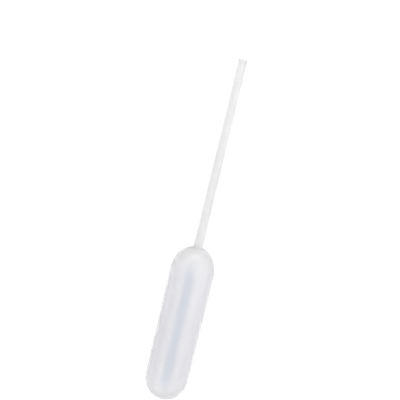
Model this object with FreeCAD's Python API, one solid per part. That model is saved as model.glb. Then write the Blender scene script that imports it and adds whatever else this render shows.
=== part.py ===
import FreeCAD, Part

import math
import os

from FreeCAD import Vector

# Dropper pipette: one hollow moulding of soft natural polyethylene. A round squeeze bulb runs
# through a domed shoulder into a slender tapered stem with an open tip. It lies on its bulb,
# with its axis level along +X from the bulb's closed end to the tip. Millimetres. The origin is
# on the surface that it lies on, under the middle of its length.

# Squeeze bulb
BULB_OD = 15.0
BULB_LENGTH = 42.1       # the parallel stretch between the round end and the shoulder
BULB_WALL = 0.45
SHOULDER_REACH = 9.2     # long half-axis of the shoulder's elliptical curve
SHOULDER_WALL = 0.65     # measured along the axis, where the shoulder faces the stem

# Stem
NECK_OD = 3.0            # where the stem leaves the shoulder
TIP_OD = 2.7
STEM_WALL = 0.5
TAPER_LENGTH = 56.4      # from the shoulder to the parallel tip
TIP_LENGTH = 10.0
NECK_FILLET = 0.9        # outside corner between the shoulder and the stem

# How far the tool that opens the tip runs past the end face
OVERRUN = 1.0


def shoulder_length(bulb_r, reach, neck_r):
    """Distance along the axis in which a quarter ellipse falls from bulb_r to neck_r."""
    return reach * math.sqrt(1 - (neck_r / bulb_r) ** 2)


def shoulder_curve(start_x, bulb_r, reach, neck_r):
    """The part of a quarter ellipse, centred on the axis at start_x, that ends at neck_r."""
    side = Vector(start_x, bulb_r, 0)
    nose = Vector(start_x + reach, 0, 0)
    major, minor = (nose, side) if reach >= bulb_r else (side, nose)
    ellipse = Part.Ellipse(major, minor, Vector(start_x, 0, 0))
    neck = Vector(start_x + shoulder_length(bulb_r, reach, neck_r), neck_r, 0)
    ends = sorted((ellipse.parameter(side), ellipse.parameter(neck)))
    return Part.ArcOfEllipse(ellipse, *ends).toShape()


def round_form(bulb_r, reach, neck_r, tip_r, fillet, taper_end, end):
    """Bulb and stem as one solid turned about X. The round end's centre is at x = 0."""
    bulb_end = BULB_LENGTH
    neck = bulb_end + shoulder_length(bulb_r, reach, neck_r)
    middle = bulb_r * math.sqrt(0.5)
    pole = Vector(-bulb_r, 0, 0)
    profile = [
        Part.Arc(pole, Vector(-middle, middle, 0), Vector(0, bulb_r, 0)).toShape(),
        Part.makeLine(Vector(0, bulb_r, 0), Vector(bulb_end, bulb_r, 0)),
        shoulder_curve(bulb_end, bulb_r, reach, neck_r),
        Part.makeLine(Vector(neck, neck_r, 0), Vector(taper_end, tip_r, 0)),
        Part.makeLine(Vector(taper_end, tip_r, 0), Vector(end, tip_r, 0)),
        Part.makeLine(Vector(end, tip_r, 0), Vector(end, 0, 0)),
        Part.makeLine(Vector(end, 0, 0), pole),
    ]
    turned = Part.Face(Part.Wire(profile)).revolve(Vector(), Vector(1, 0, 0), 360)
    corner = [edge for edge in turned.Edges if is_circle_at(edge, neck, neck_r)]
    return turned.makeFillet(fillet, corner)


def is_circle_at(edge, x, radius):
    """True for a circle about X with this place and radius."""
    if edge.Degenerated or not isinstance(edge.Curve, Part.Circle):
        return False
    place_off = abs(edge.Curve.Center.x - x)
    radius_off = abs(edge.Curve.Radius - radius)
    return max(place_off, radius_off) < Part.Precision.confusion()


def pipette():
    """The outside form less the bulb's hollow and the stem's bore."""
    bulb_r = BULB_OD / 2
    neck_r = NECK_OD / 2
    tip_r = TIP_OD / 2
    taper_end = BULB_LENGTH + shoulder_length(bulb_r, SHOULDER_REACH, neck_r) + TAPER_LENGTH
    end = taper_end + TIP_LENGTH
    outside = round_form(bulb_r, SHOULDER_REACH, neck_r, tip_r, NECK_FILLET, taper_end, end)
    hollow = round_form(
        bulb_r - BULB_WALL,
        SHOULDER_REACH - SHOULDER_WALL,
        neck_r - STEM_WALL,
        tip_r - STEM_WALL,
        NECK_FILLET + STEM_WALL,
        taper_end,
        end + OVERRUN,
    )
    moulding = outside.cut(hollow)
    moulding.translate(Vector((bulb_r - end) / 2, 0, bulb_r))
    return moulding


os.makedirs("parts", exist_ok=True)
piece = pipette()
piece.exportStep("parts/pipette.step")
box = piece.BoundBox
print(f"pipette: {box.XLength:.2f} x {box.YLength:.2f} x {box.ZLength:.2f} mm,"
      f" {piece.Volume:.1f} mm3, {len(piece.Solids)} solid")
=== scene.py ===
import math

import bpy
import numpy as np
from mathutils import Matrix, Vector


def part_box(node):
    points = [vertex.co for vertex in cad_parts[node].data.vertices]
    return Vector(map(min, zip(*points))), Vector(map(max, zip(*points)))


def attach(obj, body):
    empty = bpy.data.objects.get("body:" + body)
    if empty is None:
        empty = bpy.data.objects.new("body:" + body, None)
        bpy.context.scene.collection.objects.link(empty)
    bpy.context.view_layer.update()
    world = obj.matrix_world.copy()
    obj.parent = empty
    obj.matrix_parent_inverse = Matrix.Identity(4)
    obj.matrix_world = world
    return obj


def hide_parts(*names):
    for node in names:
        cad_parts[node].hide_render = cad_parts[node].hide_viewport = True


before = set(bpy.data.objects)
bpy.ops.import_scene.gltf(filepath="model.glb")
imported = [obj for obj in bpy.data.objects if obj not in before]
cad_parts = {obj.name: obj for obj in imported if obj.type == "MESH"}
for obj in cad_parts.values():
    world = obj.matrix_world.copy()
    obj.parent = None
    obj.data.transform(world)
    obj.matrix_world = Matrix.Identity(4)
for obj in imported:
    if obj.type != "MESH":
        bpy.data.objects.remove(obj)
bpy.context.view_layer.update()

# ------------------------------------------------------------------------------------------
# Moulding: bulb, shoulder, stem and tip in one piece. The real one is blown and drawn from a
# tube of natural low-density polyethylene, with no pigment: thin, soft and cloudy-clear. It is
# modelled as one closed skin, down the outside, over the cut tip and back along the inside.

BULB_LENGTH = 42.1e-3       # straight part of the bulb, between its round end and the shoulder
BULB_WALL = 0.45e-3
SHOULDER_REACH = 9.2e-3     # long half-axis of the shoulder's elliptical curve
SHOULDER_WALL = 0.65e-3     # measured along the axis
NECK_RADIUS = 1.5e-3
TIP_RADIUS = 1.35e-3
STEM_WALL = 0.5e-3
TIP_LENGTH = 10.0e-3        # parallel stretch before the open end
NECK_FILLET = 0.9e-3
CUT_EDGE = 0.05e-3          # rounding left by the blade on the two rims of the open end
SEGMENTS = 256              # round the axis
SPANS = {"dome": 33, "barrel": 29, "shoulder": 39, "fillet": 11, "taper": 25, "tip": 6}
FINE_STEPS = 20000          # of the quarter ellipse, to find where the fillet meets it


def shoulder_length(reach, neck_r, bulb_r):
    """How far along the axis a quarter ellipse falls from radius bulb_r to neck_r."""
    return reach * math.sqrt(1 - (neck_r / bulb_r) ** 2)


def bulb_and_stem_profile(apex, end, bulb_r, reach, neck_r, tip_r, fillet):
    """One wall face as (x, r) rows from the closed end to the open one: a quarter circle about
    the bulb's end, a line, a quarter ellipse that stops at a fillet, the fillet's arc, a
    straight taper and a parallel tip. The fillet's centre is where the ellipse pushed out by
    the fillet's radius meets the taper line pushed out by the same amount."""
    dome_x = apex + bulb_r
    shoulder_x = dome_x + BULB_LENGTH
    neck_x = shoulder_x + shoulder_length(reach, neck_r, bulb_r)
    taper_end = end - TIP_LENGTH

    turn = np.linspace(0, math.pi / 2, SPANS["dome"] + 1)[1:]
    dome = np.stack([dome_x - bulb_r * np.cos(turn), bulb_r * np.sin(turn)], 1)

    along = np.array([taper_end - neck_x, tip_r - neck_r])
    along /= np.hypot(*along)
    off_line = np.array([-along[1], along[0]])

    t = np.linspace(0, math.pi / 2, FINE_STEPS + 1)[1:-1]
    ellipse = np.stack([shoulder_x + reach * np.sin(t), bulb_r * np.cos(t)], 1)
    normal = np.stack([np.sin(t) / reach, np.cos(t) / bulb_r], 1)
    normal /= np.linalg.norm(normal, axis=1)[:, None]
    gap = (ellipse + fillet * normal - (neck_x, neck_r)) @ off_line - fillet
    stop = np.interp(0, -gap, t)
    start_normal = np.array([np.sin(stop) / reach, np.cos(stop) / bulb_r])
    start_normal /= np.hypot(*start_normal)
    foot = np.array([shoulder_x + reach * math.sin(stop), bulb_r * math.cos(stop)])
    centre = foot + fillet * start_normal

    t = np.linspace(0, stop, SPANS["shoulder"] + 1)
    shoulder = np.stack([shoulder_x + reach * np.sin(t), bulb_r * np.cos(t)], 1)
    first = math.atan2(-start_normal[1], -start_normal[0])
    last = math.atan2(-off_line[1], -off_line[0])
    t = np.linspace(first, last, SPANS["fillet"] + 1)[1:]
    corner = centre + fillet * np.stack([np.cos(t), np.sin(t)], 1)

    x = np.linspace(corner[-1, 0], taper_end, SPANS["taper"] + 1)[1:]
    taper = np.stack([x, np.interp(x, [neck_x, taper_end], [neck_r, tip_r])], 1)
    x = np.linspace(taper_end, end - CUT_EDGE, SPANS["tip"] + 1)[1:]
    tip = np.stack([x, np.full_like(x, tip_r)], 1)
    x = np.linspace(dome_x, shoulder_x, SPANS["barrel"] + 1)[1:-1]
    barrel = np.stack([x, np.full_like(x, bulb_r)], 1)
    return np.concatenate([dome, barrel, shoulder, corner, taper, tip])


def turned_skin(name, path, axis_z, first_pole, last_pole, waviness):
    """Closed surface from a profile turned about the X line at height axis_z. Ring i, spoke j
    is (x_i, r_ij cos a_j, axis_z + r_ij sin a_j), with r_ij the profile's radius times one plus
    waviness[i, j]. Both ends close on a single point of the axis."""
    a = np.arange(SEGMENTS) * (2 * math.pi / SEGMENTS)
    r = path[:, 1:2] * (1 + waviness)
    x = np.repeat(path[:, 0:1], SEGMENTS, 1)
    rings = np.stack([x, r * np.cos(a), axis_z + r * np.sin(a)], -1).reshape(-1, 3)
    points = np.concatenate([[[first_pole, 0, axis_z]], rings, [[last_pole, 0, axis_z]]])
    count = len(path)
    index = 1 + np.arange(count * SEGMENTS).reshape(count, SEGMENTS)
    beside = np.roll(index, -1, axis=1)
    quads = np.stack([index[:-1], beside[:-1], beside[1:], index[1:]], -1).reshape(-1, 4)
    fan = np.stack([np.zeros_like(index[0]), beside[0], index[0]], 1)
    far = np.stack([index[-1], beside[-1], np.full_like(index[0], len(points) - 1)], 1)
    mesh = bpy.data.meshes.new(name)
    mesh.from_pydata(points.tolist(), [], quads.tolist() + fan.tolist() + far.tolist())
    mesh.validate()
    mesh.polygons.foreach_set("use_smooth", np.ones(len(mesh.polygons), bool))
    piece = bpy.data.objects.new(name, mesh)
    bpy.context.scene.collection.objects.link(piece)
    return piece


node_low, node_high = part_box("pipette")
bulb_radius = (node_high.z - node_low.z) / 2
axis_height = (node_high.z + node_low.z) / 2
outside = bulb_and_stem_profile(
    node_low.x, node_high.x, bulb_radius, SHOULDER_REACH, NECK_RADIUS, TIP_RADIUS, NECK_FILLET
)
inside = bulb_and_stem_profile(
    node_low.x + BULB_WALL, node_high.x, bulb_radius - BULB_WALL, SHOULDER_REACH - SHOULDER_WALL,
    NECK_RADIUS - STEM_WALL, TIP_RADIUS - STEM_WALL, NECK_FILLET + STEM_WALL,
)
quarter = np.linspace(0, math.pi / 2, 5)
outer_rim = np.stack([
    node_high.x - CUT_EDGE * (1 - np.sin(quarter)), TIP_RADIUS - CUT_EDGE * (1 - np.cos(quarter))
], 1)[1:]
inner_rim = np.stack([
    node_high.x - CUT_EDGE * (1 - np.cos(quarter)),
    TIP_RADIUS - STEM_WALL + CUT_EDGE * (1 - np.sin(quarter)),
], 1)[:-1]
profile = np.concatenate([outside, outer_rim, inner_rim, inside[::-1]])

# Uneven inside: the blown tube keeps faint lengthwise waves, strongest in the bulb's barrel.
WAVE_DEPTH = 0.004          # share of the radius
WAVES = (                   # crests round the axis, height, start and twist
    (3, 0.40, 0.7, 0.6), (7, 0.30, 2.1, -0.5), (13, 0.22, 4.4, 0.4), (22, 0.14, 1.3, -0.3),
)
TWIST_LENGTH = 30e-3        # along which a wave's phase shifts by its twist, in radians
angle = np.arange(SEGMENTS) * (2 * math.pi / SEGMENTS)
drift = (profile[:, 0] / TWIST_LENGTH)[:, None]
waves = sum(
    tall * np.cos(crests * angle + start + twist * drift) for crests, tall, start, twist in WAVES
)
inner = np.arange(len(profile)) >= len(profile) - len(inside)
share = np.where(inner, np.clip(profile[:, 1] / bulb_radius, 0, 1), 0)[:, None]
pipette = turned_skin(
    "pipette_moulding", profile, axis_height, node_low.x, node_low.x + BULB_WALL,
    WAVE_DEPTH * share * waves,
)


def maths(tree, operation, *values):
    """One Math node of a node tree. A value is a number or another node's output."""
    node = tree.nodes.new("ShaderNodeMath")
    node.operation = operation
    for socket, value in zip(node.inputs, values):
        if isinstance(value, bpy.types.NodeSocket):
            tree.links.new(value, socket)
        else:
            socket.default_value = value
    return node.outputs[0]


def ramp(tree, value, first, last, start=0.0, stop=1.0):
    """start where value is at first, stop where it is at last, even between, flat beyond."""
    node = tree.nodes.new("ShaderNodeMapRange")
    tree.links.new(value, node.inputs["Value"])
    node.inputs["From Min"].default_value = first
    node.inputs["From Max"].default_value = last
    node.inputs["To Min"].default_value = start
    node.inputs["To Max"].default_value = stop
    return node.outputs["Result"]


def tinted(tree, base, share, tint):
    """The colour base where share is 0 and tint where it is 1. base may be a node's output."""
    node = tree.nodes.new("ShaderNodeMix")
    node.data_type = "RGBA"
    node.inputs["B"].default_value = (*tint, 1)
    tree.links.new(share, node.inputs["Factor"])
    if isinstance(base, bpy.types.NodeSocket):
        tree.links.new(base, node.inputs["A"])
    else:
        node.inputs["A"].default_value = (*base, 1)
    return node.outputs["Result"]


def noise(tree, place, scale, detail):
    """The grey value of a Noise Texture read at place."""
    node = tree.nodes.new("ShaderNodeTexNoise")
    node.inputs["Scale"].default_value = scale
    node.inputs["Detail"].default_value = detail
    tree.links.new(place, node.inputs["Vector"])
    return node.outputs["Fac"]


polyethylene = bpy.data.materials.new("natural_polyethylene")
polyethylene.use_nodes = True
tree = polyethylene.node_tree
skin = tree.nodes["Principled BSDF"]
place = tree.nodes.new("ShaderNodeTexCoord").outputs["Object"]
apart = tree.nodes.new("ShaderNodeSeparateXYZ")
tree.links.new(place, apart.inputs["Vector"])
along_axis = apart.outputs["X"]

# Zones of the wall, as masks along the axis. The shoulder, and in part the round end, were
# stretched less than the barrel and stayed heavy; in the colour, the shoulder's mask also
# carries painted light. The stem was drawn, and cut with a blade. Each zone gives where its mask
# is 0 and where it is full, from the place named beside it.
SHOULDER_ZONE = (0.9e-3, 6.9e-3)    # where the barrel ends
DOME_ZONE = (4e-3, -2e-3)           # where the barrel starts
STEM_ZONE = (0.9e-3, 4.9e-3)        # neck
CUT_ZONE = (-0.5e-3, -0.2e-3)       # open end
HEAVY_DOME = 0.5                    # share of the shoulder's heaviness
dome_x = node_low.x + bulb_radius
shoulder_x = dome_x + BULB_LENGTH
neck_x = shoulder_x + shoulder_length(SHOULDER_REACH, NECK_RADIUS, bulb_radius)
shoulder_share = ramp(tree, along_axis, *(shoulder_x + far for far in SHOULDER_ZONE))
dome_share = ramp(tree, along_axis, *(dome_x + far for far in DOME_ZONE), stop=HEAVY_DOME)
stem_share = ramp(tree, along_axis, *(neck_x + far for far in STEM_ZONE))
cut_share = ramp(tree, along_axis, *(node_high.x + far for far in CUT_ZONE))

# Draw lines: cloudiness that runs in long soft streaks along the axis, between two tints. The
# barrel's tint gets lighter towards the shoulder, so there the second tint gets a larger share.
STREAKS_PER_METRE = (18, 700, 700)
LIGHTER_TOWARDS_SHOULDER = (-0.45, 0.20)             # added to the second tint's share, from end to end
LIGHTEST_PAST_BARREL = 2.9e-3                   # past the end of the barrel
CLOUDY = (0.961, 0.957, 0.982)
CLEAR = (0.984, 0.981, 0.999)
# near-white: the heavy wall's neutral tone, and on the shoulder also painted light
HEAVY_WALL_AND_PAINTED_LIGHT = (0.999, 0.998, 0.997)
DRAWN_STEM = (0.962, 0.957, 0.955)
CUT_END = (0.90, 0.90, 0.90)
stretch = tree.nodes.new("ShaderNodeMapping")
stretch.inputs["Scale"].default_value = STREAKS_PER_METRE
tree.links.new(place, stretch.inputs["Vector"])
streaks = noise(tree, stretch.outputs["Vector"], scale=1, detail=3)
# The tint gets lighter from the round end towards the shoulder.
lightening = ramp(tree, along_axis, dome_x, shoulder_x + LIGHTEST_PAST_BARREL, *LIGHTER_TOWARDS_SHOULDER)
colour = tinted(tree, CLOUDY, maths(tree, "ADD", lightening, streaks), CLEAR)
# A near-white, neutral tint over the shoulder, and half of it on the round end. On the round end
# it is the heavier wall's tone; on the shoulder it is also painted light, lightening the
# shoulder as light falling there would.
colour = tinted(tree, colour, maths(tree, "MAXIMUM", shoulder_share, dome_share), HEAVY_WALL_AND_PAINTED_LIGHT)
colour = tinted(tree, colour, stem_share, DRAWN_STEM)
colour = tinted(tree, colour, cut_share, CUT_END)
tree.links.new(colour, skin.inputs["Base Color"])

# Frost: patches where the cooled skin is a little duller or glossier. From the shoulder on, the
# whole wall is duller.
NOISE_RANGE = (0.3, 0.7)            # most of the noise's grey values lie in it
FROST = (0.285, 0.315)
EXTRA_DULLNESS = 0.06
frost = ramp(tree, noise(tree, place, scale=260, detail=4), *NOISE_RANGE, *FROST)
dullness = maths(tree, "MULTIPLY_ADD", shoulder_share, EXTRA_DULLNESS, frost)
tree.links.new(dullness, skin.inputs["Roughness"])

# Gloss: the smooth outer face that the mould leaves over the hazy wall. The shoulder has half
# of it, and the drawn stem has none.
SHOULDER_GLOSS = 0.5
gloss = maths(tree, "MULTIPLY_ADD", stem_share, -SHOULDER_GLOSS, 1.0)
gloss = maths(tree, "MULTIPLY_ADD", shoulder_share, SHOULDER_GLOSS - 1, gloss)
tree.links.new(gloss, skin.inputs["Coat Weight"])
skin.inputs["Coat Roughness"].default_value = 0.12
skin.inputs["Coat IOR"].default_value = 1.6

# Grain: the faint orange peel of soft polyethylene.
GRAIN_DEPTH = 0.02e-3
relief = tree.nodes.new("ShaderNodeBump")
relief.inputs["Strength"].default_value = 0.08
relief.inputs["Distance"].default_value = GRAIN_DEPTH
tree.links.new(noise(tree, place, scale=2600, detail=2), relief.inputs["Height"])
tree.links.new(relief.outputs["Normal"], skin.inputs["Normal"])

# Body: light passes through it and is scattered, apart from a milky quarter.
skin.inputs["IOR"].default_value = 1.51
skin.inputs["Specular IOR Level"].default_value = 0.5
skin.inputs["Transmission Weight"].default_value = 0.75
pipette.data.materials.append(polyethylene)

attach(pipette, "root")
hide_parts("pipette")

# ------------------------------------------------------------------------------------------
# Table: a plain white sheet that the pipette lies on. It is only a stage: white to the camera
# and in the plastic, with the pipette's own soft shadow kept.

TABLE_HALF = 1.6
GLOW_IN_SIGHT = 0.70         # lifts the lit paper to white where it is seen directly
GLOW_THROUGH_PLASTIC = 1.115
GLOW_IN_GLOSS = 0.76

table_mesh = bpy.data.meshes.new("table")
corners = np.array([[-1, -1], [1, -1], [1, 1], [-1, 1]]) * TABLE_HALF
table_mesh.from_pydata(np.column_stack([corners, np.zeros(4)]).tolist(), [], [[0, 1, 2, 3]])
table = bpy.data.objects.new("table", table_mesh)
bpy.context.scene.collection.objects.link(table)
paper = bpy.data.materials.new("white_paper")
paper.use_nodes = True
tree = paper.node_tree
sheet = tree.nodes["Principled BSDF"]
sheet.inputs["Base Color"].default_value = (0.42, 0.42, 0.425, 1)
sheet.inputs["Roughness"].default_value = 0.9
sheet.inputs["Specular IOR Level"].default_value = 0.2
sheet.inputs["Emission Color"].default_value = (1, 1, 1, 1)

# A ray through hazy plastic counts as glossy and as transmission, so it gets the sum of both.
ray = tree.nodes.new("ShaderNodeLightPath").outputs
glow = maths(tree, "MULTIPLY", ray["Is Camera Ray"], GLOW_IN_SIGHT)
glow = maths(tree, "MULTIPLY_ADD", ray["Is Glossy Ray"], GLOW_IN_GLOSS, glow)
glow = maths(
    tree, "MULTIPLY_ADD", ray["Is Transmission Ray"], GLOW_THROUGH_PLASTIC - GLOW_IN_GLOSS, glow
)
tree.links.new(glow, sheet.inputs["Emission Strength"])
table.data.materials.append(paper)

# ------------------------------------------------------------------------------------------
# Light: a white light tent with a slit in its roof and a small window, and three soft boxes
# inside it. The slit is seen only in the plastic, as the dull blue stripe along the bulb, and
# the window only in its gloss, as the catchlight on the bulb's round end.

TENT_LIGHT = 0.83            # what the tent gives to matt surfaces, where 1 is white
LOWEST_RISE = 0.02           # keeps slopes finite near the horizon

# A slope is how far a direction leads along or across the pipette for each metre that it
# rises. Each edge is a pair: outside it at the first value, fully inside at the second.
SLIT_SHADE = (0.16, 0.36, 0.64)
SLIT_LEFT = (0.55, 0.30)     # slope across
SLIT_RIGHT = (-0.082, -0.042)
SLIT_SKEW = -0.6             # the right edge isn't parallel to the pipette
SLIT_FAR = (-0.685, -0.625)  # slope along, towards the bulb's end
SLIT_NEAR = (0.60, 0.40)     # and towards the tip

WINDOW_LIGHT = 2.6           # added to the tent's
WINDOW_NEAR = (-0.545, -0.57)    # X of a direction of length 1
WINDOW_FAR = (-0.84, -0.74)
WINDOW_RIGHT = (0.55, 0.80)      # slope across
WINDOW_LEFT = (1.6, 1.2)

SOFT_BOXES = (               # name, place, length, width and radiance
    ("softbox_left", (0.05, 0.45, 0.40), 0.7, 0.35, 0.25),
    ("softbox_right", (0.045, -0.47, 0.34), 0.9, 0.67, 0.40),
    ("softbox_front", (0.60, 0.00, 0.13), 0.9, 0.24, 1.3),
)
SOFT_BOX_AIM = Vector((-0.02, 0, 0))


def overlap(tree, first, *others):
    """The product of several masks."""
    for other in others:
        first = maths(tree, "MULTIPLY", first, other)
    return first


world = bpy.data.worlds.new("light_tent")
bpy.context.scene.world = world
world.use_nodes = True
tree = world.node_tree
tent = tree.nodes["Background"]
ray = tree.nodes.new("ShaderNodeLightPath").outputs
outlook = tree.nodes.new("ShaderNodeTexCoord")
apart = tree.nodes.new("ShaderNodeSeparateXYZ")
tree.links.new(outlook.outputs["Generated"], apart.inputs["Vector"])
rise = maths(tree, "MAXIMUM", apart.outputs["Z"], LOWEST_RISE)
slope_along = maths(tree, "DIVIDE", apart.outputs["X"], rise)
slope_across = maths(tree, "DIVIDE", apart.outputs["Y"], rise)
slope_askew = maths(tree, "MULTIPLY_ADD", slope_along, SLIT_SKEW, slope_across)
in_plastic = maths(tree, "MAXIMUM", ray["Is Glossy Ray"], ray["Is Transmission Ray"])
slit = overlap(
    tree,
    ramp(tree, slope_across, *SLIT_LEFT),
    ramp(tree, slope_askew, *SLIT_RIGHT),
    ramp(tree, slope_along, *SLIT_FAR),
    ramp(tree, slope_along, *SLIT_NEAR),
    in_plastic,
)
tree.links.new(tinted(tree, (1, 1, 1), slit, SLIT_SHADE), tent.inputs["Color"])
window = overlap(
    tree,
    ramp(tree, apart.outputs["X"], *WINDOW_NEAR),
    ramp(tree, apart.outputs["X"], *WINDOW_FAR),
    ramp(tree, slope_across, *WINDOW_RIGHT),
    ramp(tree, slope_across, *WINDOW_LEFT),
    ray["Is Glossy Ray"],
)
seen = maths(tree, "MAXIMUM", ray["Is Camera Ray"], in_plastic)
tent_light = maths(tree, "MULTIPLY_ADD", seen, 1 - TENT_LIGHT, TENT_LIGHT)
strength = maths(tree, "MULTIPLY_ADD", window, WINDOW_LIGHT, tent_light)
tree.links.new(strength, tent.inputs["Strength"])

for name, lamp_place, length, width, radiance in SOFT_BOXES:
    lamp = bpy.data.lights.new(name, "AREA")
    lamp.shape = "RECTANGLE"
    lamp.size = length
    lamp.size_y = width
    lamp.energy = radiance * math.pi * length * width
    lamp_object = bpy.data.objects.new(name, lamp)
    lamp_object.location = lamp_place
    aim = SOFT_BOX_AIM - lamp_object.location
    lamp_object.rotation_euler = aim.to_track_quat("-Z", "Y").to_euler()
    bpy.context.scene.collection.objects.link(lamp_object)

# ------------------------------------------------------------------------------------------
# Camera: above the table, beyond the tip's end and looking down on the whole pipette.

CAMERA_PLACE = Vector((0.14423, -0.00958, 0.35062))
AIM_POINT = Vector((0.01325, 0.00303, 0.0075))
PICTURE_TOP = math.radians(12.567)   # the way along the table that is up in the picture, from +X
LIGHT_TURNS = 64             # light that runs along inside the wall turns often before it is out
MATT_TURNS = 8

lens = bpy.data.cameras.new("camera")
lens.lens = 99.92
lens.sensor_width = 36
lens.clip_start = 0.01
lens.clip_end = 20
camera = bpy.data.objects.new("camera", lens)
back = (CAMERA_PLACE - AIM_POINT).normalized()
right = Vector((math.cos(PICTURE_TOP), math.sin(PICTURE_TOP), 0)).cross(back).normalized()
facing = Matrix((right, back.cross(right), back)).transposed().to_4x4()
camera.matrix_world = Matrix.Translation(CAMERA_PLACE) @ facing
bpy.context.scene.collection.objects.link(camera)
bpy.context.scene.camera = camera
bpy.context.scene.view_settings.view_transform = "Standard"
paths = bpy.context.scene.cycles
paths.max_bounces = LIGHT_TURNS
paths.transmission_bounces = LIGHT_TURNS
paths.glossy_bounces = LIGHT_TURNS
paths.diffuse_bounces = MATT_TURNS
